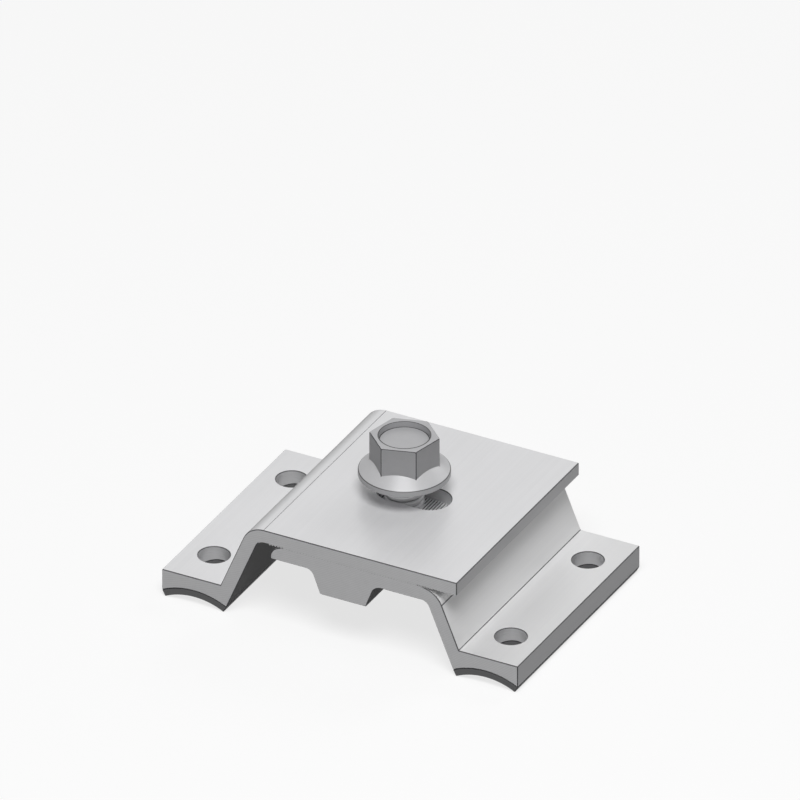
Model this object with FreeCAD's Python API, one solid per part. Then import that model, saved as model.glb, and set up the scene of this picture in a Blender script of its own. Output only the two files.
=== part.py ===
import FreeCAD, Part
import math
import os

# Roof clamp for corrugated sheet: two extruded halves that mesh through fine teeth, a rubber pad
# under each foot, and one hex flange bolt screwed into the lower half.
# Millimetres, +Z up. X runs along the clamp, from foot to foot, and Y along the sawn extrusions.
# The origin lies on the level that the pads stand on, midway between the feet.

# Foot, the same on both halves. Its underside is a saddle that sits on the crest of a corrugation.
clamp_width = 63.5
saddle_chord = 17.6
saddle_radius = 19.0
foot_wall = 3.65
pad_wall = 1.8
screw_hole_diameter = 7.8
screw_hole_spacing = 40.0

# Web, which rises from the foot, and the bend above it
web_wall = 3.7
web_lean = 22.5
bend_outer_radius = 6.0
bend_inner_radius = 2.4

# Teeth between the halves
tooth_pitch = 0.75
tooth_angle = 80.0
tooth_flat = 0.05
tooth_play = 0.03
tooth_margin = 0.9
mesh_height = 15.2

# Upper half: the plate over its teeth, and the slot that lets it slide along the bolt
plate_wall = 3.72
slot_reach = 52.0
slot_travel = 9.0
plate_tail = 28.3

# Lower half: the flange under its teeth, and the boss that holds the bolt
flange_wall = 4.0
boss_reach = 47.5
boss_depth = 6.25
boss_root_width = 17.2
boss_draft = 20.6
boss_fillet = 2.5
flange_tail = 19.7
nose_radius = 3.0

# Bolt
thread_diameter = 9.8
thread_pitch = 1.75
shank_length = 30.0
tip_chamfer = 0.4
underhead_fillet = 0.15
hex_width = 15.0
hex_turn = 17.0
hex_bevel = 0.3
head_height = 10.7
collar_diameter = 22.5
collar_rim = 1.25
collar_slope = 33.5
collar_edge_radius = 0.25
recess_wall = 1.3
recess_depth = 1.4

# Fits, and how the clamp is set
thread_play = 0.1
slot_play = 0.2
notches_off_middle = 3
turns_open = 3

# Worked out from the sizes above
axis_y = FreeCAD.Vector(0, 1, 0)
axis_z = FreeCAD.Vector(0, 0, 1)
origin = FreeCAD.Vector(0, 0, 0)
lean = math.radians(web_lean)
saddle_half_angle = math.asin(saddle_chord / 2 / saddle_radius)
saddle_centre_z = -foot_wall - saddle_radius
saddle_edge_z = saddle_centre_z + saddle_radius * math.cos(saddle_half_angle)
web_wall_level = web_wall / math.cos(lean)
foot_top_width = saddle_chord - web_wall_level - saddle_edge_z * math.tan(lean)
tooth_depth = (tooth_pitch / 2 - tooth_flat) / math.tan(math.radians(tooth_angle / 2))
tooth_run = tooth_pitch / 2 - tooth_flat
flange_root_z = mesh_height - tooth_depth / 2
flange_underside_z = flange_root_z + tooth_depth - flange_wall
plate_root_z = mesh_height + tooth_depth / 2 + tooth_play
plate_top_z = plate_root_z - tooth_depth + plate_wall
slot_offset = (notches_off_middle + 0.5) * tooth_pitch
overall_length = boss_reach + slot_reach - slot_offset
pad_inner_radius = saddle_radius - pad_wall
foot_top_level = -saddle_centre_z - pad_inner_radius * math.cos(saddle_half_angle)
bolt_x = overall_length / 2 - boss_reach
bolt_seat_level = foot_top_level + plate_top_z + turns_open * thread_pitch


def corner(x, z, radius=0.0):
    """A corner of an outline in the XZ plane, rounded if a radius is given."""
    return FreeCAD.Vector(x, 0, z), radius


def through(x, z):
    """A point that the arc between the corners before and after it passes through."""
    return FreeCAD.Vector(x, 0, z), None


def rounding(before, spot, after, radius):
    """Start, middle and end of the arc that rounds a corner."""
    back = (before - spot).normalize()
    ahead = (after - spot).normalize()
    half = back.getAngle(ahead) / 2
    start = spot + back * (radius / math.tan(half))
    end = spot + ahead * (radius / math.tan(half))
    middle = spot + (back + ahead).normalize() * (radius / math.sin(half) - radius)
    return start, middle, end


def outline_face(points):
    """The face inside an outline of corners and through points."""
    count = len(points)
    arrive, leave, edges = {}, {}, []
    for i, (spot, radius) in enumerate(points):
        arrive[i] = leave[i] = spot
        if radius:
            before, after = points[i - 1][0], points[(i + 1) % count][0]
            arrive[i], middle, leave[i] = rounding(before, spot, after, radius)
            edges.append(Part.Arc(arrive[i], middle, leave[i]).toShape())
    for i, (spot, radius) in enumerate(points):
        following = (i + 1) % count
        if radius is None:
            continue
        if points[following][1] is None:
            far = (i + 2) % count
            edges.append(Part.Arc(leave[i], points[following][0], arrive[far]).toShape())
        else:
            edges.append(Part.makeLine(leave[i], arrive[following]))
    return Part.Face(Part.Wire(Part.__sortEdges__(edges)))


def extruded(points):
    """An outline extruded to the clamp's width, half to each side of the XZ plane."""
    solid = outline_face(points).extrude(axis_y * clamp_width)
    solid.translate(axis_y * (-clamp_width / 2))
    return solid


def tooth_row(first, last, crest_at, root_z, rise):
    """Corners of a row of teeth between two places along X, with a crest at crest_at. A negative rise points down."""
    reach = tooth_flat / 2 + tooth_run
    lowest = math.ceil((first + reach - crest_at) / tooth_pitch)
    highest = math.floor((last - reach - crest_at) / tooth_pitch)
    row = []
    for number in range(lowest, highest + 1):
        crest_x = crest_at + number * tooth_pitch
        row.append(corner(crest_x - reach, root_z))
        row.append(corner(crest_x - tooth_flat / 2, root_z + rise))
        row.append(corner(crest_x + tooth_flat / 2, root_z + rise))
        row.append(corner(crest_x + reach, root_z))
    return row


def foot_and_web(outer_z, inner_z):
    """Corners of a foot and its web, from the bend's inside, round the foot, to the bend's outside.

    X starts at the foot's outer edge and Z at its top. outer_z and inner_z are the heights of the
    flat that the bend leads into.
    """
    inner_x = foot_top_width + web_wall_level + inner_z * math.tan(lean)
    outer_x = foot_top_width + outer_z * math.tan(lean)
    return [
        corner(inner_x, inner_z, bend_inner_radius),
        corner(saddle_chord, saddle_edge_z),
        through(saddle_chord / 2, -foot_wall),
        corner(0, saddle_edge_z),
        corner(0, 0),
        corner(foot_top_width, 0),
        corner(outer_x, outer_z, bend_outer_radius),
    ]


def bend_end(height, radius, side):
    """Where a bend ends and its flat begins, along X. side is 0 outside the web and its wall inside it."""
    turn = math.pi / 2 - lean
    return foot_top_width + side + height * math.tan(lean) + radius * math.tan(turn / 2)


def screw_holes():
    """The two holes of a foot, through metal and rubber."""
    radius = screw_hole_diameter / 2
    bottom = -2 * foot_top_level
    holes = []
    for side in (-1, 1):
        place = FreeCAD.Vector(foot_top_width / 2, side * screw_hole_spacing / 2, bottom)
        holes.append(Part.makeCylinder(radius, foot_top_level - bottom, place, axis_z))
    return Part.makeCompound(holes)


def slot_cutter():
    """The long hole in the plate, which the bolt passes through."""
    radius = thread_diameter / 2 + slot_play
    left = slot_reach - slot_travel / 2
    right = slot_reach + slot_travel / 2
    top = plate_top_z + plate_wall
    below = plate_root_z - 2 * tooth_depth
    edges = [
        Part.makeLine(FreeCAD.Vector(left, -radius, below), FreeCAD.Vector(right, -radius, below)),
        Part.Arc(
            FreeCAD.Vector(right, -radius, below),
            FreeCAD.Vector(right + radius, 0, below),
            FreeCAD.Vector(right, radius, below),
        ).toShape(),
        Part.makeLine(FreeCAD.Vector(right, radius, below), FreeCAD.Vector(left, radius, below)),
        Part.Arc(
            FreeCAD.Vector(left, radius, below),
            FreeCAD.Vector(left - radius, 0, below),
            FreeCAD.Vector(left, -radius, below),
        ).toShape(),
    ]
    return Part.Face(Part.Wire(edges)).extrude(axis_z * (top - below))


def make_upper_half():
    """Foot, web and toothed plate in one extrusion, with the slot and the screw holes."""
    teeth_start = bend_end(plate_root_z, bend_inner_radius, web_wall_level) + tooth_margin
    plate_end = slot_reach + plate_tail
    teeth = tooth_row(teeth_start, plate_end, slot_reach, plate_root_z, -tooth_depth)
    points = foot_and_web(plate_top_z, plate_root_z)
    points.append(corner(plate_end, plate_top_z))
    points.append(corner(plate_end, plate_root_z))
    points.extend(reversed(teeth))
    return extruded(points).cut(slot_cutter()).cut(screw_holes())


def boss_corners():
    """The tapered boss under the flange, from its root on the nose side to its root on the web side."""
    bottom_z = flange_underside_z - boss_depth
    half_root = boss_root_width / 2
    half_tip = half_root - boss_depth * math.tan(math.radians(boss_draft))
    return [
        corner(boss_reach + half_root, flange_underside_z, boss_fillet),
        corner(boss_reach + half_tip, bottom_z),
        corner(boss_reach - half_tip, bottom_z),
        corner(boss_reach - half_root, flange_underside_z, boss_fillet),
    ]


def make_lower_half():
    """Foot, web, toothed flange and boss in one extrusion, with the bolt's hole and the screw holes."""
    teeth_start = bend_end(flange_root_z, bend_outer_radius, 0) + tooth_margin
    nose_x = boss_reach + flange_tail
    nose_start = nose_x - nose_radius
    nose_side_z = flange_root_z - nose_radius
    nose_turn = math.radians(45)
    teeth = tooth_row(teeth_start, nose_start, boss_reach, flange_root_z, tooth_depth)
    points = foot_and_web(flange_root_z, flange_underside_z)
    points.extend(teeth)
    points.append(corner(nose_start, flange_root_z))
    points.append(
        through(
            nose_start + nose_radius * math.sin(nose_turn),
            nose_side_z + nose_radius * math.cos(nose_turn),
        )
    )
    points.append(corner(nose_x, nose_side_z))
    points.append(corner(nose_x, flange_underside_z))
    points.extend(boss_corners())
    hole_bottom = flange_underside_z - 2 * boss_depth
    hole_height = flange_root_z + 2 * tooth_depth - hole_bottom
    hole_radius = thread_diameter / 2 + thread_play
    hole_place = FreeCAD.Vector(boss_reach, 0, hole_bottom)
    bolt_hole = Part.makeCylinder(hole_radius, hole_height, hole_place, axis_z)
    return extruded(points).cut(bolt_hole).cut(screw_holes())


def make_foot_pad():
    """The rubber strip under a foot: concentric with the saddle, with ends that point at its centre."""
    middle_x = saddle_chord / 2
    half_inner = pad_inner_radius * math.sin(saddle_half_angle)
    inner_edge_z = saddle_centre_z + pad_inner_radius * math.cos(saddle_half_angle)
    points = [
        corner(0, saddle_edge_z),
        through(middle_x, -foot_wall),
        corner(saddle_chord, saddle_edge_z),
        corner(middle_x + half_inner, inner_edge_z),
        through(middle_x, -foot_wall - pad_wall),
        corner(middle_x - half_inner, inner_edge_z),
    ]
    return extruded(points).cut(screw_holes())


def bolt_body():
    """Shank and collar, turned about the Z axis, with the collar's underside at Z 0."""
    shank_radius = thread_diameter / 2
    collar_radius = collar_diameter / 2
    inner_radius = hex_width / 2 - recess_wall
    cone_top_z = collar_rim + (collar_radius - inner_radius) * math.tan(math.radians(collar_slope))
    points = [
        corner(0, -shank_length),
        corner(shank_radius - tip_chamfer, -shank_length),
        corner(shank_radius, -shank_length + tip_chamfer),
        corner(shank_radius, 0, underhead_fillet),
        corner(collar_radius, 0),
        corner(collar_radius, collar_rim, collar_edge_radius),
        corner(inner_radius, cone_top_z),
        corner(0, cone_top_z),
    ]
    return outline_face(points).revolve(origin, axis_z, 360)


def hex_head():
    """The six-sided head, with its top corners turned off a little and a round recess in its top."""
    corner_radius = hex_width / 2 / math.cos(math.radians(30))
    spots = []
    for number in range(7):
        turn = math.radians(hex_turn + 60 * number)
        spots.append(FreeCAD.Vector(math.cos(turn), math.sin(turn), 0) * corner_radius)
    prism = Part.Face(Part.makePolygon(spots)).extrude(axis_z * head_height)
    bevel_points = [
        corner(0, 0),
        corner(corner_radius + hex_bevel, 0),
        corner(corner_radius + hex_bevel, head_height - hex_bevel),
        corner(corner_radius - hex_bevel, head_height),
        corner(0, head_height),
    ]
    envelope = outline_face(bevel_points).revolve(origin, axis_z, 360)
    recess_place = FreeCAD.Vector(0, 0, head_height - recess_depth)
    recess = Part.makeCylinder(hex_width / 2 - recess_wall, head_height, recess_place, axis_z)
    return prism.common(envelope).cut(recess)


def make_bolt():
    """Hex flange bolt in one piece. The cone of its collar runs up into the flats of the head."""
    return bolt_body().fuse(hex_head()).removeSplitter()


def on_upper_side(shape):
    """Puts a shape made in a half's own frame on the -X side of the clamp."""
    shape.translate(FreeCAD.Vector(-overall_length / 2, 0, foot_top_level))
    return shape


def on_lower_side(shape):
    """Turns a shape made in a half's own frame about and puts it on the +X side of the clamp."""
    shape.rotate(origin, axis_z, 180)
    shape.translate(FreeCAD.Vector(overall_length / 2, 0, foot_top_level))
    return shape


def on_bolt_axis(shape):
    """Puts the bolt in its hole, opened by whole turns of its thread."""
    shape.translate(FreeCAD.Vector(bolt_x, 0, bolt_seat_level))
    return shape


nodes = {
    "upper_clamp_half": on_upper_side(make_upper_half()),
    "upper_foot_pad": on_upper_side(make_foot_pad()),
    "lower_clamp_half": on_lower_side(make_lower_half()),
    "lower_foot_pad": on_lower_side(make_foot_pad()),
    "flange_bolt": on_bolt_axis(make_bolt()),
}

os.makedirs("parts", exist_ok=True)
for name, shape in nodes.items():
    shape.exportStep(os.path.join("parts", name + ".step"))
    print(name, "volume", round(shape.Volume, 1), "solids", len(shape.Solids), "valid", shape.isValid())
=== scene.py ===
import math
import bmesh
import bpy
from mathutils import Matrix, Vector


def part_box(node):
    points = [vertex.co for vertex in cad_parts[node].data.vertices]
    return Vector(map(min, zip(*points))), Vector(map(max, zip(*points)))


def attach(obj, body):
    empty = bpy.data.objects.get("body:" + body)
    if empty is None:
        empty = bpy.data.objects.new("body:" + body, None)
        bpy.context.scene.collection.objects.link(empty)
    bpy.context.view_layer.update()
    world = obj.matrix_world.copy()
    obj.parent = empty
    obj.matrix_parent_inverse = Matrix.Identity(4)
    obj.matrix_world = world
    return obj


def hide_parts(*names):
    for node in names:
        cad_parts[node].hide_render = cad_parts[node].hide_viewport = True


# Corrugated roof clamp: two aluminium extrusions, a rubber pad under each foot, and a flange bolt.
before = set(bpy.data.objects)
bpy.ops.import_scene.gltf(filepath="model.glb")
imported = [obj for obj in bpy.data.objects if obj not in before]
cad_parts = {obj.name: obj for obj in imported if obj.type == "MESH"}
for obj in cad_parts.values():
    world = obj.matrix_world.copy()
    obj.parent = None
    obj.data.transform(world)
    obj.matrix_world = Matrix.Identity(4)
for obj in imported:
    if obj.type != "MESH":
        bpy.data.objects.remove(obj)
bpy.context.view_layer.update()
mm = 0.001


class Socket:
    # One output of a node, with Python's operators for the Math nodes behind it
    def __init__(self, tree, output=None):
        self.tree = tree
        self.output = output

    def node(self, kind, settings=None, values=None, take=0):
        made = self.tree.nodes.new(kind)
        for key, value in (settings or {}).items():
            if key == "stops":
                fillRamp(made.color_ramp, value)
            else:
                setattr(made, key, value)
        for key, value in (values or {}).items():
            if isinstance(value, Socket):
                self.tree.links.new(value.output, made.inputs[key])
            else:
                made.inputs[key].default_value = value
        return Socket(self.tree, made.outputs[take] if len(made.outputs) else None)

    def other(self, name):
        return Socket(self.tree, self.output.node.outputs[name])

    def math(self, operation, first, second=0.0, third=0.0):
        return self.node("ShaderNodeMath", {"operation": operation}, {0: first, 1: second, 2: third})

    def __add__(self, value):
        return self.math("ADD", self, value)

    def __radd__(self, value):
        return self.math("ADD", value, self)

    def __sub__(self, value):
        return self.math("SUBTRACT", self, value)

    def __rsub__(self, value):
        return self.math("SUBTRACT", value, self)

    def __mul__(self, value):
        return self.math("MULTIPLY", self, value)

    def __rmul__(self, value):
        return self.math("MULTIPLY", value, self)

    def __truediv__(self, value):
        return self.math("DIVIDE", self, value)

    def __rtruediv__(self, value):
        return self.math("DIVIDE", value, self)

    def __pow__(self, value):
        return self.math("POWER", self, value)

    def __gt__(self, value):
        return self.math("GREATER_THAN", self, value)

    def __lt__(self, value):
        return self.math("LESS_THAN", self, value)


def fillRamp(ramp, stops):
    while len(ramp.elements) > 1:
        ramp.elements.remove(ramp.elements[-1])
    for i, (place, shade) in enumerate(stops):
        element = ramp.elements[0] if i == 0 else ramp.elements.new(place)
        element.position = place
        element.color = (shade, shade, shade, 1)


def newMaterial(name):
    material = bpy.data.materials.new(name)
    material.use_nodes = True
    material.node_tree.nodes.clear()
    return material, Socket(material.node_tree)


def finishMaterial(start, values):
    surface = start.node("ShaderNodeBsdfPrincipled", {}, values)
    start.node("ShaderNodeOutputMaterial", {}, {"Surface": surface})


def noise(start, stretch, scale, detail=3.0, roughness=0.55):
    # Noise on the piece's own coordinates, drawn out along the axes with a small stretch value
    place = start.node("ShaderNodeTexCoord", take="Object")
    drawn = start.node("ShaderNodeMapping", {}, {"Vector": place, "Scale": stretch})
    values = {"Vector": drawn, "Scale": scale, "Detail": detail, "Roughness": roughness}
    return start.node("ShaderNodeTexNoise", {}, values)


def tinted(start, colour, factor, spread):
    # The colour, lighter and darker by the spread as the factor goes from 0 to 1
    dark = tuple(c * (1 - spread) for c in colour[:3]) + (1,)
    light = tuple(min(1, c * (1 + spread)) for c in colour[:3]) + (1,)
    return start.node("ShaderNodeMix", {"data_type": "RGBA"}, {0: factor, 6: dark, 7: light}, take=2)


def darkened(start, colour, place, stops):
    # The colour, times the grey that the ramp gives at a place between 0 and 1
    shade = start.node("ShaderNodeValToRGB", {"stops": stops}, {0: place})
    settings = {"data_type": "RGBA", "blend_type": "MULTIPLY"}
    return start.node("ShaderNodeMix", settings, {0: 1.0, 6: colour, 7: shade}, take=2)


def bump(start, height, strength, depth):
    return start.node("ShaderNodeBump", {}, {"Height": height, "Strength": strength, "Distance": depth})


def settle(piece, body, slot, *nodes):
    # A finished piece takes the place of its CAD nodes, on their body
    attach(piece, body)
    if nodes:
        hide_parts(*nodes)
    return piece


# How a CAD mesh is cleaned, and which of its edges are broken
cleaning = {
    "weld": 0.002 * mm,  # corners closer than this are one
    "flatAngle": 0.4,  # degrees; faces that turn less than this are one
    "sharpAngle": 38,  # degrees; an edge that turns more than this may be broken
}
# How far a face's normal points along an axis
facing = {
    "square": 0.99,
    "mostly": 0.9,
    "leaning": 0.8,
    "upright": 0.3,
    "hardly": 0.1,
}


def meshFrom(node):
    bm = bmesh.new()
    bm.from_mesh(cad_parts[node].data)
    bmesh.ops.remove_doubles(bm, verts=bm.verts, dist=cleaning["weld"])
    flatAngle = math.radians(cleaning["flatAngle"])
    bmesh.ops.dissolve_limit(bm, angle_limit=flatAngle, verts=bm.verts, edges=bm.edges)
    return bm


def linkPiece(name, mesh):
    piece = bpy.data.objects.new(name, mesh)
    bpy.context.scene.collection.objects.link(piece)
    return piece


# A face larger than this is flat, and no part of a bend
broadFace = 90 * mm * mm


def pieceFrom(bm, name, materials, smoothAngle=30):
    mesh = bpy.data.meshes.new(name)
    bm.to_mesh(mesh)
    bm.free()
    for layer in [a for a in mesh.attributes if a.name in ("custom_normal", "UVMap")]:
        mesh.attributes.remove(layer)
    for material in materials:
        mesh.materials.append(material)
    mesh.shade_smooth()
    mesh.set_sharp_from_angle(angle=math.radians(smoothAngle))
    for face in mesh.polygons:
        face.use_smooth = face.area < broadFace
    return linkPiece(name, mesh)


def sharpEdges(bm, isChosen):
    limit = math.radians(cleaning["sharpAngle"])
    edges = [e for e in bm.edges if e.is_manifold and e.is_convex and e.calc_face_angle() > limit]
    return [e for e in edges if isChosen(e)]


def bevelEdges(bm, distance, edges, material):
    bmesh.ops.bevel(bm, geom=edges, offset=distance, offset_type="OFFSET", segments=1, profile=0.5,
                    affect="EDGES", clamp_overlap=False, material=material)


# The two extrusions
extrusion = {
    "halfWidth": 31.75 * mm,  # from the middle to a sawn end
    "edgeBreak": 0.20 * mm,  # how far the sawn and drilled edges are broken
    "cutShare": 0.35,  # a drilled or milled wall is shorter than this share of the half width
    "endShare": 0.98,  # and its middle lies within this share of it
    "shadeLineHalf": 0.07 * mm,  # half the width of the painted shade lines in corners and beside bends
    "lowerShadeLines": (22.211 * mm, 27.754 * mm, 32.435 * mm),  # their X
    "upperShadeLines": (-20.657 * mm, -26.201 * mm, -32.435 * mm),
    # painted shade: the dark of those lines and of the broken edges
    "edgeShadeColour": (0.10, 0.10, 0.105, 1),
    # One bare aluminium, written as lit and shaded copies: the lower top is lighter so that its bend
    # keeps a painted highlight, the sides, undersides and drilled walls are darker as painted shade,
    # and the teeth and tapped wall are lighter as painted light against the shade they lie in
    "lowerDrawn": {"colour": (0.93, 0.93, 0.94, 1), "metallic": 0.25, "gloss": 0.3, "roughness": 0.36},
    "upperDrawn": {"colour": (0.74, 0.74, 0.75, 1), "metallic": 0.25, "gloss": 0.3, "roughness": 0.36},
    "side": {"colour": (0.49, 0.49, 0.50, 1), "metallic": 0.12, "gloss": 0.3, "roughness": 0.42},
    "under": {"colour": (0.23, 0.23, 0.235, 1), "metallic": 0.0, "gloss": 0.05, "roughness": 0.55},
    "sawn": {"colour": (0.74, 0.74, 0.75, 1), "metallic": 0.12, "gloss": 0.3, "roughness": 0.36},
    "cut": {"colour": (0.66, 0.66, 0.67, 1), "metallic": 0.12, "gloss": 0.3, "roughness": 0.30},
    "tapped": {"colour": (0.95, 0.95, 0.96, 1), "metallic": 0.55, "gloss": 0.3, "roughness": 0.34},
    "toothed": {"colour": (0.96, 0.96, 0.97, 1), "metallic": 0.4, "gloss": 0.3, "roughness": 0.40},
    # Painted shading from the flat part, 0, to the web, 1: the lower bend carries a painted highlight,
    # and the upper one painted shade
    "lowerBendPaintedHighlight": (20.787 * mm, 27.754 * mm,
                  [(0.0, 0.8), (0.2, 0.9), (0.35, 1.0), (0.85, 1.0), (1.0, 0.8)]),
    "upperBendPaintedShade": (-20.657 * mm, -26.201 * mm,
                  [(0.2, 1.0), (0.55, 0.7), (0.78, 0.25), (0.88, 0.3), (1.0, 1.0)]),
}
teeth = {
    "pitch": 0.75 * mm,
    "angle": 80,  # degrees
    "flat": 0.05 * mm,  # at crests and roots
    "rootLevel": 22.4124 * mm,  # on the lower half
    "meshLevel": 22.61 * mm,  # where the two rows meet
    "band": 0.3 * mm,  # all of both rows lies this close to that level
    "flankPlay": 0.01,  # how closely a flank's normal follows the angle
    "widestFlat": 0.2 * mm,
    "paintedShade": [(0.14, 0.02), (0.34, 1.0)],  # painted shade, from the roots, 0, to the crests, 1
}
teeth["depth"] = (teeth["pitch"] / 2 - teeth["flat"]) / math.tan(math.radians(teeth["angle"] / 2))


def drawnAluminium(kind, shadeLines=(), paintedBendShading=None, crestIsUp=None):
    # Mill finish: fine streaks run along the extrusion, over a faint cloudiness. Painted shade lies in
    # lines in the corners and beside the bends, a bend carries painted highlight and shade, and painted
    # shade darkens the teeth towards the roots.
    finish = extrusion[kind]
    material, start = newMaterial(kind + "Aluminium")
    broad = noise(start, (1, 0.012, 1), 900, 4)
    fine = noise(start, (1, 0.006, 1), 4200, 3)
    cloud = noise(start, (1, 0.6, 1), 60, 4)
    streaks = broad * 0.6 + fine * 0.4
    shade = streaks * 0.65 + cloud * 0.35
    colour = tinted(start, finish["colour"], shade, 0.10)
    place = start.node("ShaderNodeTexCoord", take="Object")
    across = start.node("ShaderNodeSeparateXYZ", {}, {0: place}, take="X")
    # painted highlight and shade along a bend
    if paintedBendShading:
        flatEnd, webEnd, stops = paintedBendShading
        colour = darkened(start, colour, (across - flatEnd) / (webEnd - flatEnd), stops)
    # painted shade: dark lines in the corners and beside the bends
    for at in shadeLines:
        onShadeLine = start.math("ABSOLUTE", across - at) < extrusion["shadeLineHalf"]
        mixed = {0: onShadeLine, 6: colour, 7: extrusion["edgeShadeColour"]}
        colour = start.node("ShaderNodeMix", {"data_type": "RGBA"}, mixed, take=2)
    # painted shade: the teeth grow darker towards their roots
    if crestIsUp is not None:
        level = across.other("Z") - teeth["meshLevel"]
        height = level * ((1 if crestIsUp else -1) / teeth["depth"]) + 0.5
        colour = darkened(start, colour, height, teeth["paintedShade"])
    finishMaterial(start, {
        "Base Color": colour,
        "Metallic": finish["metallic"],
        "Specular IOR Level": finish["gloss"],
        "Roughness": finish["roughness"] - 0.09 + fine * 0.10 + cloud * 0.08,
        "Normal": bump(start, streaks, 0.16, 0.03 * mm),
    })
    return material


# The marks that the saw left on the ends
saw = {
    "axisX": -0.11,  # where the blade's axis was, in metres
    "axisZ": 0.19,
    "spacing": 0.55 * mm,
    "wander": 0.12 * mm,
}


def sawnAluminium():
    # Sawn ends: shallow arcs left by the blade
    finish = extrusion["sawn"]
    material, start = newMaterial("sawnAluminium")
    place = start.node("ShaderNodeTexCoord", take="Object")
    parts = start.node("ShaderNodeSeparateXYZ", {}, {0: place}, take="X")
    across = parts - saw["axisX"]
    above = parts.other("Z") - saw["axisZ"]
    reach = start.math("SQRT", across * across + above * above)
    wander = noise(start, (1, 1, 1), 500, 2)
    wave = start.math("SINE", (reach + wander * saw["wander"]) * (2 * math.pi / saw["spacing"]))
    grain = noise(start, (1, 1, 1), 5200, 3)
    marks = wave * 0.25 + grain * 0.75
    finishMaterial(start, {
        "Base Color": tinted(start, finish["colour"], marks * 0.6 + wander * 0.4, 0.10),
        "Metallic": finish["metallic"],
        "Specular IOR Level": finish["gloss"],
        "Roughness": finish["roughness"] - 0.04 + grain * 0.14,
        "Normal": bump(start, marks, 0.22, 0.03 * mm),
    })
    return material


def cutAluminium(kind):
    # Drilled, milled and tapped walls, with fine rings round the tool's axis
    finish = extrusion[kind]
    material, start = newMaterial(kind + "Aluminium")
    rings = noise(start, (0.05, 0.05, 1), 5200, 2)
    finishMaterial(start, {
        "Base Color": tinted(start, finish["colour"], rings, 0.07),
        "Metallic": finish["metallic"],
        "Specular IOR Level": finish["gloss"],
        "Roughness": finish["roughness"] - 0.07 + rings * 0.14,
        "Normal": bump(start, rings, 0.2, 0.02 * mm),
    })
    return material


def edgeShadeAluminium():
    # Filed edges, painted dark: painted shade along them
    material, start = newMaterial("edgeShadeAluminium")
    grain = noise(start, (1, 1, 1), 1800, 3)
    finishMaterial(start, {
        "Base Color": tinted(start, extrusion["edgeShadeColour"], grain, 0.25),
        "Metallic": 0.0,
        "Specular IOR Level": 0.2,
        "Roughness": 0.42 + grain * 0.12,
        "Normal": bump(start, grain, 0.2, 0.02 * mm),
    })
    return material


def nearTeeth(part):
    return all(abs(v.co.z - teeth["meshLevel"]) < teeth["band"] for v in part.verts)


def isTooth(face):
    # A flank leans as the teeth do. The flats at crests and roots are narrow.
    xs = [v.co.x for v in face.verts]
    flank = math.cos(math.radians(teeth["angle"] / 2))
    isFlank = abs(abs(face.normal.x) - flank) < teeth["flankPlay"]
    isFlat = abs(face.normal.z) > facing["square"] and max(xs) - min(xs) < teeth["widestFlat"]
    return nearTeeth(face) and (isFlank or isFlat)


def isCut(face):
    # Drilled and milled walls are short in Y, and don't lie in a sawn end
    ys = [v.co.y for v in face.verts]
    middle = abs(sum(ys) / len(ys))
    isShort = max(ys) - min(ys) < extrusion["cutShare"] * extrusion["halfWidth"]
    return isShort and middle < extrusion["endShare"] * extrusion["halfWidth"]


def dressExtrusion(node, body, materials):
    bm = meshFrom(node)
    for face in bm.faces:
        if abs(face.normal.y) > facing["mostly"]:
            face.material_index = 1
        if isCut(face):
            face.material_index = 2
        # elsewhere, sides and undersides take darker copies of the aluminium, as painted shade
        elif abs(face.normal.y) < facing["hardly"]:
            isShadedSide = abs(face.normal.x) > facing["square"]
            isShadedUnder = face.normal.z < -facing["upright"]
            face.material_index = 4 if isTooth(face) else 5 if isShadedSide else 6 if isShadedUnder else 0
    bevelEdges(bm, extrusion["edgeBreak"], sharpEdges(bm, lambda e: not nearTeeth(e)), 3)
    return settle(pieceFrom(bm, node + "_dressed", materials), body, "clamp_aluminium", node)


# The rubber pads
rubber = {
    "edgeBreak": 0.15 * mm,
    # painted shade: the dark of the pads' broken edges and long ends
    "colour": (0.17, 0.17, 0.173, 1),
    "edgeShadeColour": (0.035, 0.035, 0.037, 1),
    "roughness": 0.62,
}


def padRubber(name, colour):
    # Matt rubber with a fine grain and a faint bloom
    material, start = newMaterial(name)
    grain = noise(start, (1, 1, 1), 5200, 3)
    bloom = noise(start, (1, 0.35, 1), 130, 4)
    finishMaterial(start, {
        "Base Color": tinted(start, colour, bloom * 0.7 + grain * 0.3, 0.22),
        "Metallic": 0.0,
        "Roughness": rubber["roughness"] - 0.08 + bloom * 0.16,
        "Specular IOR Level": 0.4,
        "Normal": bump(start, grain, 0.35, 0.04 * mm),
    })
    return material


def dressPad(node, body, materials):
    # The two long ends, at the outer and inner edges of the saddle, are painted as dark as its edges,
    # as painted shade
    bm = meshFrom(node)
    for face in bm.faces:
        if abs(face.normal.x) > facing["leaning"] and face.calc_area() > broadFace:
            face.material_index = 1
    bevelEdges(bm, rubber["edgeBreak"], sharpEdges(bm, lambda e: True), 1)
    return settle(pieceFrom(bm, node + "_dressed", materials), body, "pad_rubber", node)


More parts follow.
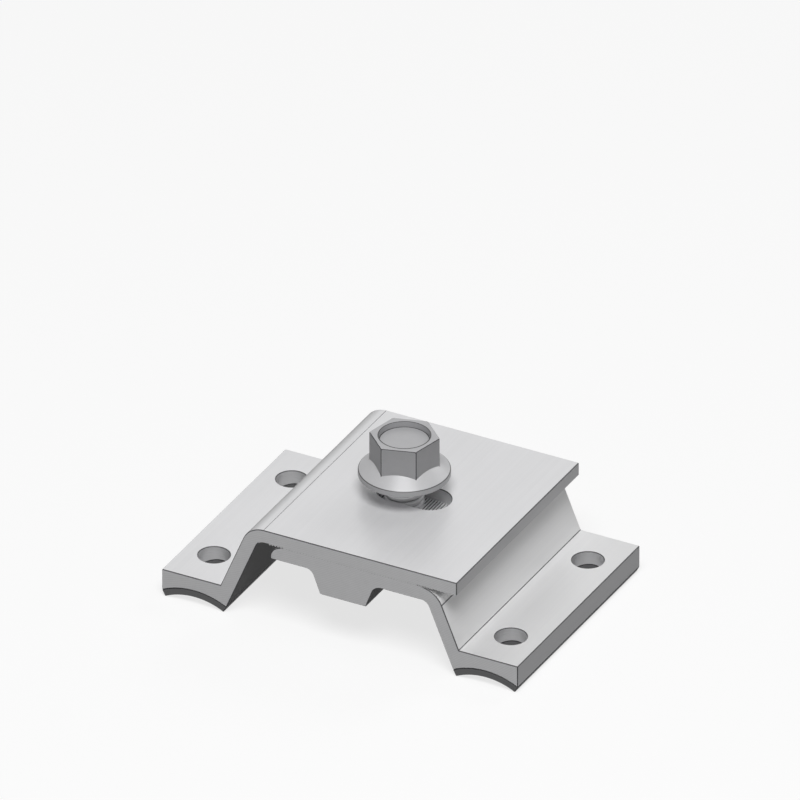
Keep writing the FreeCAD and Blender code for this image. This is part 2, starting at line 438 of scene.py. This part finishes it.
# The bolt
bolt = {
    "shankLength": 30.0 * mm,
    "collarThickness": 1.3 * mm,
    "hexRadius": 9.0 * mm,
    "topBand": 2.0 * mm,  # the hexagon's end and its recess lie this close to its top
    "edgeBreak": 0.15 * mm,
    "shankCut": 0.01 * mm,  # what lies further than this under the seat is the shank
    "seatBand": 0.3 * mm,  # edges this close to the seat stay sharp
    "recessBand": 0.1 * mm,  # and so do those this close round the recess, or in it
    "ringBand": 1.0 * mm,  # the dark rings lie this close to the collar's rim and the recess's wall
    "smoothAngle": 28,  # degrees
    "collarRadius": 11.25 * mm,
    "recessRadius": 6.2 * mm,
    "crestRadius": 4.9 * mm,
    "rootRadius": 4.14 * mm,
    "tipRadius": 4.5 * mm,
    "reachIntoHead": 0.6 * mm,
    "collar": {"colour": (0.50, 0.50, 0.51, 1), "metallic": 0.16, "gloss": 0.5, "roughness": 0.42},
    "hexTop": {"colour": (0.45, 0.45, 0.46, 1), "metallic": 0.18, "gloss": 0.5, "roughness": 0.38},
    # the hexagon's sides are a darker, matt copy of the top's steel, as painted shade, and its broken
    # edges are painted dark as painted shade
    "hexShadedSide": {"colour": (0.41, 0.41, 0.42, 1), "metallic": 0.0, "gloss": 0.1, "roughness": 0.45},
    "edge": {"colour": (0.08, 0.08, 0.085, 1), "metallic": 0.0, "gloss": 0.2, "roughness": 0.45},
    "thread": {"colour": (0.90, 0.90, 0.91, 1), "metallic": 0.12, "gloss": 0.35, "roughness": 0.42},
    # Painted shading from one radius, 0, to another, 1: the collar and the recess have a painted shade
    # line along their edges, and painted shade darkens the thread towards its roots
    "collarPaintedShade": [(0.0, 1.0), (0.74, 1.0), (0.79, 0.15), (0.95, 0.15), (0.985, 0.75)],
    "recessPaintedShade": [(0.365, 1.0), (0.385, 0.15), (0.64, 0.15), (0.66, 1.0)],
    "threadPaintedShade": [(0.0, 0.10), (0.5, 1.0)],
}
lowCorner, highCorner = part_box("flange_bolt")
boltX = (lowCorner.x + highCorner.x) / 2


def brightSteel(kind, paintedShade=None, inner=0.0, outer=0.0):
    # Bright steel with a fine grain, with painted shade between two radii
    finish = bolt[kind]
    material, start = newMaterial(kind + "Steel")
    grain = noise(start, (1, 1, 1), 2600, 4)
    mottle = noise(start, (1, 1, 1), 340, 3)
    shade = tinted(start, finish["colour"], grain * 0.4 + mottle * 0.6, 0.10)
    if paintedShade:
        place = start.node("ShaderNodeTexCoord", take="Object")
        parts = start.node("ShaderNodeSeparateXYZ", {}, {0: place}, take="X")
        across = parts - boltX
        along = parts.other("Y")
        radius = start.math("SQRT", across * across + along * along)
        shade = darkened(start, shade, (radius - inner) / (outer - inner), paintedShade)
    finishMaterial(start, {
        "Base Color": shade,
        "Metallic": finish["metallic"],
        "Specular IOR Level": finish["gloss"],
        "Roughness": finish["roughness"] - 0.05 + grain * 0.07 + mottle * 0.05,
        "Normal": bump(start, grain, 0.16, 0.02 * mm),
    })
    return material


def dressHead(materials):
    # The bolt without its plain shank, which the threaded one takes the place of
    seat = lowCorner.z + bolt["shankLength"]
    axis = Vector((boltX, 0, 0))
    bm = meshFrom("flange_bolt")
    below = [v for v in bm.verts if v.co.z < seat - bolt["shankCut"]]
    bmesh.ops.delete(bm, geom=below, context="VERTS")
    bmesh.ops.holes_fill(bm, edges=[e for e in bm.edges if e.is_boundary])
    for face in bm.faces:
        middle = face.calc_center_median()
        reach = (Vector((middle.x, middle.y, 0)) - axis).length
        isAbove = middle.z > seat + bolt["collarThickness"]
        # the hexagon's sides and the recess's wall take the darker matt steel: painted shade
        onShadedSide = reach < bolt["hexRadius"] and isAbove and abs(face.normal.z) < facing["upright"]
        onTop = middle.z > highCorner.z - bolt["topBand"]
        face.material_index = 3 if onShadedSide else 1 if onTop else 0

    def isOutside(edge):
        reach = min((Vector((v.co.x, v.co.y, 0)) - axis).length for v in edge.verts)
        lowest = min(v.co.z for v in edge.verts)
        return lowest > seat + bolt["seatBand"] and reach > bolt["recessRadius"] + bolt["recessBand"]

    bevelEdges(bm, bolt["edgeBreak"], sharpEdges(bm, isOutside), 2)
    head = pieceFrom(bm, "bolt_head", materials, bolt["smoothAngle"])
    return settle(head, "bolt", "bolt_steel", "flange_bolt")


# The threads of the bolt and of the boss that it screws into
thread = {
    "pitch": 1.75 * mm,
    "startTurn": 0.67,  # where it begins round the axis, in turns
    "divisions": 64,
    "narrowing": 3.2,  # how late a crest starts to fall off, and how steeply it ends
    "ending": 0.8,
    "rowsPerPitch": 16,
    "nearly": 0.001 * mm,  # a length under this counts as none
    "weld": 0.002 * mm,
    "smoothAngle": 40,  # degrees
}
tapping = {
    "crestRadius": 4.2 * mm,
    "rootRadius": 4.95 * mm,
    "endRadius": 4.95 * mm,
    "backRadius": 4.99 * mm,
    "bottomLevel": 12.56 * mm,
    "topLevel": 24.5 * mm,
    "blockBelow": 1.0 * mm,  # the block that trims it starts this far under it
    "blockTeeth": 8,  # and reaches this many teeth to each side
}


def threadTree():
    # A helical thread as one grid: across it runs round the axis, and along it up the thread.
    # Side is 1 for a thread on a shank, -1 for one in a hole.
    tree = bpy.data.node_groups.new("threadTree", "GeometryNodeTree")
    tree.interface.new_socket("Geometry", in_out="OUTPUT", socket_type="NodeSocketGeometry")
    sizes = {}
    for name in ("Pitch", "Crest Radius", "Root Radius", "End Radius", "Back Radius", "Start Level",
                 "Low Level", "High Level", "Start Turn", "Side", "Axis X"):
        sizes[name] = tree.interface.new_socket(name, in_out="INPUT", socket_type="NodeSocketFloat")
    for name, kind in (("Divisions", "NodeSocketInt"), ("Material", "NodeSocketMaterial")):
        sizes[name] = tree.interface.new_socket(name, in_out="INPUT", socket_type=kind)
    start = Socket(tree)
    given = start.node("NodeGroupInput")
    pitch, crest, root = given.other("Pitch"), given.other("Crest Radius"), given.other("Root Radius")
    end, back, side = given.other("End Radius"), given.other("Back Radius"), given.other("Side")
    low, high, begin = given.other("Low Level"), given.other("High Level"), given.other("Start Level")

    # The helix starts under the low level and ends past the high one. The first row and the two
    # past the helix close the thread at its back radius.
    turns = start.math("CEIL", (high - begin) / pitch) + 3
    helixRows = turns * thread["rowsPerPitch"]
    rows = helixRows + 3
    grid = start.node("GeometryNodeMeshGrid", {}, {
        "Size X": 1.0,
        "Size Y": 1.0,
        "Vertices X": given.other("Divisions") + 1,
        "Vertices Y": rows,
    }, take="Mesh")
    place = start.node("GeometryNodeInputPosition")
    turn = start.node("ShaderNodeSeparateXYZ", {}, {0: place}, take="X")
    row = start.math("ROUND", (turn.other("Y") + 0.5) * (rows - 1))
    around = turn + 0.5

    phase = (row - 1) / thread["rowsPerPitch"]
    level = begin + pitch * (phase - 2 + around + given.other("Start Turn"))
    fromCrest = start.math("ABSOLUTE", start.math("FRACT", phase + 0.5) - 0.5)
    fallen = (fromCrest * 2) ** thread["narrowing"]
    swell = start.math("MAXIMUM", 1 - fallen, 0.0) ** thread["ending"]
    profile = root + (crest - root) * swell
    level = start.math("MINIMUM", start.math("MAXIMUM", level, low), high)
    fromEnd = start.math("MINIMUM", level - low, high - level)
    kept = side * start.math("MINIMUM", side * profile, side * end + fromEnd)
    radius = end + (fromEnd > thread["nearly"]) * (kept - end)

    onHelix = (row > 0.5) * (row < helixRows + 0.5)
    closing = row > helixRows + 1.5
    hollow = back > thread["nearly"]
    backLevel = low + (row > 0.5) * (high - low) * (1 - closing * hollow)
    radius = back + onHelix * (radius - back)
    level = backLevel + onHelix * (level - backLevel)
    angle = around * (2 * math.pi)
    spot = start.node("ShaderNodeCombineXYZ", {}, {
        "X": given.other("Axis X") + radius * start.math("COSINE", angle),
        "Y": radius * start.math("SINE", angle),
        "Z": level,
    })
    placed = start.node("GeometryNodeSetPosition", {}, {"Geometry": grid, "Position": spot})
    welding = {"Geometry": placed, "Distance": thread["weld"]}
    merged = start.node("GeometryNodeMergeByDistance", {}, welding)
    real = start.node("GeometryNodeRealizeInstances", {}, {"Geometry": merged})
    coat = {"Geometry": real, "Material": given.other("Material")}
    painted = start.node("GeometryNodeSetMaterial", {}, coat)
    start.node("NodeGroupOutput", {}, {"Geometry": painted})
    return tree, {name: socket.identifier for name, socket in sizes.items()}


def plainMesh(piece):
    made = bpy.data.meshes.new_from_object(piece.evaluated_get(bpy.context.evaluated_depsgraph_get()))
    piece.modifiers.clear()
    return made


def makeThread(name, tree, identifiers, values, material):
    piece = linkPiece(name, bpy.data.meshes.new(name + "Start"))
    modifier = piece.modifiers.new("thread", "NODES")
    modifier.node_group = tree
    for key, value in {**values, "Material": material}.items():
        modifier[identifiers[key]] = value
    plain = plainMesh(piece)
    bm = bmesh.new()
    bm.from_mesh(plain)
    bmesh.ops.dissolve_degenerate(bm, edges=bm.edges, dist=thread["weld"])
    bmesh.ops.recalc_face_normals(bm, faces=bm.faces)
    bm.to_mesh(plain)
    bm.free()
    piece.data = plain
    return piece


def smoothThread(piece):
    piece.data.shade_smooth()
    piece.data.set_sharp_from_angle(angle=math.radians(thread["smoothAngle"]))


def toothedBlock(material):
    # A block round the boss's hole, with the lower half's teeth on top. A crest is over the axis.
    count = tapping["blockTeeth"]
    reach = count * teeth["pitch"]
    bottom = tapping["bottomLevel"] - tapping["blockBelow"]
    root, crestLevel = teeth["rootLevel"], teeth["rootLevel"] + teeth["depth"]
    half, flat = teeth["pitch"] / 2, teeth["flat"] / 2
    outline = [(-reach, bottom)]
    for number in range(-count, count):
        crest = number * teeth["pitch"]
        if number > -count:
            outline.append((crest - flat, crestLevel))
        outline.append((crest + flat, crestLevel))
        outline.append((crest + half - flat, root))
        outline.append((crest + half + flat, root))
    outline.append((reach, bottom))
    bm = bmesh.new()
    face = bm.faces.new([bm.verts.new((boltX + x, -reach, z)) for x, z in outline])
    far = bmesh.ops.extrude_face_region(bm, geom=[face])["geom"]
    farPoints = [v for v in far if isinstance(v, bmesh.types.BMVert)]
    bmesh.ops.translate(bm, verts=farPoints, vec=(0, 2 * reach, 0))
    bmesh.ops.recalc_face_normals(bm, faces=bm.faces)
    return pieceFrom(bm, "toothedBlock", [material])


def makeThreads(steel, aluminium, toothMaterial):
    tree, identifiers = threadTree()
    shared = {
        "Pitch": thread["pitch"],
        "Axis X": boltX,
        "Start Turn": thread["startTurn"],
        "Divisions": thread["divisions"],
    }
    shank = makeThread("bolt_thread", tree, identifiers, {
        **shared,
        "Crest Radius": bolt["crestRadius"],
        "Root Radius": bolt["rootRadius"],
        "End Radius": bolt["tipRadius"],
        "Back Radius": 0.0,
        "Start Level": lowCorner.z,
        "Low Level": lowCorner.z,
        "High Level": lowCorner.z + bolt["shankLength"] + bolt["reachIntoHead"],
        "Side": 1.0,
    }, steel)
    smoothThread(shank)
    settle(shank, "bolt", "bolt_steel", "flange_bolt")
    # The hole's thread starts a whole number of pitches above the bolt's, so the two mesh
    steps = math.floor((tapping["bottomLevel"] - lowCorner.z) / thread["pitch"])
    ring = makeThread("boss_thread", tree, identifiers, {
        **shared,
        "Crest Radius": tapping["rootRadius"],
        "Root Radius": tapping["crestRadius"],
        "End Radius": tapping["endRadius"],
        "Back Radius": tapping["backRadius"],
        "Start Level": lowCorner.z + steps * thread["pitch"],
        "Low Level": tapping["bottomLevel"],
        "High Level": tapping["topLevel"],
        "Side": -1.0,
    }, aluminium)
    # The teeth run on over the thread, up to the hole's rim
    block = toothedBlock(toothMaterial)
    trim = ring.modifiers.new("trim", "BOOLEAN")
    trim.operation = "INTERSECT"
    trim.solver = "EXACT"
    trim.material_mode = "TRANSFER"
    trim.object = block
    ring.data = plainMesh(ring)
    bpy.data.objects.remove(block)
    smoothThread(ring)
    settle(ring, "lower_half", "clamp_aluminium")
    print("threads made, with", len(shank.data.polygons), "and", len(ring.data.polygons), "faces")


# The studio, and the view of the reference picture
studio = {
    "floorSize": 8.0,
    "floorColour": 1.0,
    "floorBounce": 0.05,
    "floorGlow": 0.75,  # how much of the floor that is seen shines by itself
    "skyLight": 0.1,
    "azimuth": 27.83,  # degrees
    "elevation": 31.02,
    "lens": 1550,
    "frameWidth": 192.5 * mm,
    "lookAt": (-0.9 * mm, 1.2 * mm, 50.8 * mm),
    "lampsAim": (0, 0, 20 * mm),
    "lamps": [  # name, place, size and power
        ("keyLamp", (0.42, -0.80, 1.80), 1.1, 32.3),
        ("backLamp", (0.5, 1.6, 1.2), 0.8, 4.5),
    ],
}


def whereSeen(start):
    # 1 for what the camera sees, straight, in a reflection or through something clear
    ray = start.node("ShaderNodeLightPath", take="Is Camera Ray")
    indirect = start.math("MAXIMUM", ray.other("Is Glossy Ray"), ray.other("Is Transmission Ray"))
    return start.math("MAXIMUM", ray, indirect)


def makeStudio():
    half = studio["floorSize"] / 2
    mesh = bpy.data.meshes.new("floor")
    corners = [(-half, -half, 0), (half, -half, 0), (half, half, 0), (-half, half, 0)]
    mesh.from_pydata(corners, [], [(0, 1, 2, 3)])
    floor = linkPiece("floor", mesh)
    material, start = newMaterial("floorPaint")
    seen = whereSeen(start)
    bounce, shown = studio["floorBounce"], studio["floorColour"]
    colour = start.node("ShaderNodeMix", {"data_type": "RGBA"}, {
        0: seen,
        6: (bounce, bounce, bounce, 1),
        7: (shown, shown, shown, 1),
    }, take=2)
    paint = start.node("ShaderNodeBsdfDiffuse", {}, {"Color": colour})
    glow = start.node("ShaderNodeEmission", {}, {"Color": (1, 1, 1, 1), "Strength": 1.0})
    finish = start.node("ShaderNodeMixShader", {}, {0: seen * studio["floorGlow"], 1: paint, 2: glow})
    start.node("ShaderNodeOutputMaterial", {}, {"Surface": finish})
    mesh.materials.append(material)

    world = bpy.data.worlds.new("studio")
    bpy.context.scene.world = world
    world.use_nodes = True
    world.node_tree.nodes.clear()
    start = Socket(world.node_tree)
    strength = studio["skyLight"] + (1 - studio["skyLight"]) * whereSeen(start)
    backdrop = start.node("ShaderNodeBackground", {}, {"Color": (1, 1, 1, 1), "Strength": strength})
    start.node("ShaderNodeOutputWorld", {}, {"Surface": backdrop})

    for lamp in studio["lamps"]:
        addLamp(*lamp)
    print("studio set")


def addLamp(name, place, size, power):
    data = bpy.data.lights.new(name, "AREA")
    data.shape = "DISK"
    data.size = size
    data.energy = power
    lamp = linkPiece(name, data)
    lamp.location = place
    lamp.rotation_mode = "QUATERNION"
    aim = Vector(studio["lampsAim"]) - Vector(place)
    lamp.rotation_quaternion = aim.to_track_quat("-Z", "Y")


def makeCamera():
    azimuth, elevation = math.radians(studio["azimuth"]), math.radians(studio["elevation"])
    back = Vector((
        math.sin(azimuth) * math.cos(elevation),
        -math.cos(azimuth) * math.cos(elevation),
        math.sin(elevation),
    ))
    data = bpy.data.cameras.new("camera")
    data.lens = studio["lens"]
    distance = studio["frameWidth"] * data.lens / data.sensor_width
    camera = linkPiece("camera", data)
    camera.location = Vector(studio["lookAt"]) + back * distance
    camera.rotation_mode = "QUATERNION"
    camera.rotation_quaternion = (-back).to_track_quat("-Z", "Y")
    bpy.context.scene.camera = camera
    print("camera set")


makeCamera()
makeStudio()
lowerTeeth = drawnAluminium("toothed", crestIsUp=True)
upperTeeth = drawnAluminium("toothed", crestIsUp=False)
# the lower bend takes a painted highlight, and the upper one painted shade
lowerTop = drawnAluminium("lowerDrawn", extrusion["lowerShadeLines"], extrusion["lowerBendPaintedHighlight"])
upperTop = drawnAluminium("upperDrawn", extrusion["upperShadeLines"], extrusion["upperBendPaintedShade"])
ends = [sawnAluminium(), cutAluminium("cut"), edgeShadeAluminium()]
# darker copies for the sides and undersides: painted shade
outside = [drawnAluminium("side"), drawnAluminium("under")]
dressExtrusion("lower_clamp_half", "lower_half", [lowerTop] + ends + [lowerTeeth] + outside)
dressExtrusion("upper_clamp_half", "upper_half", [upperTop] + ends + [upperTeeth] + outside)
print("extrusions dressed")
rubbers = [padRubber("padRubber", rubber["colour"]), padRubber("padEdgeShade", rubber["edgeShadeColour"])]
dressPad("lower_foot_pad", "lower_half", rubbers)
dressPad("upper_foot_pad", "upper_half", rubbers)
print("pads dressed")
rim, recess, band = bolt["collarRadius"], bolt["recessRadius"], bolt["ringBand"]
collarSteel = brightSteel("collar", bolt["collarPaintedShade"], rim - band, rim)
threadSteel = brightSteel("thread", bolt["threadPaintedShade"], bolt["rootRadius"], bolt["crestRadius"])
topSteel = brightSteel("hexTop", bolt["recessPaintedShade"], recess - band, recess + band)
dressHead([collarSteel, topSteel, brightSteel("edge"), brightSteel("hexShadedSide")])
makeThreads(threadSteel, cutAluminium("tapped"), lowerTeeth)
print("bolt dressed")

bpy.context.scene.view_settings.view_transform = "Standard"
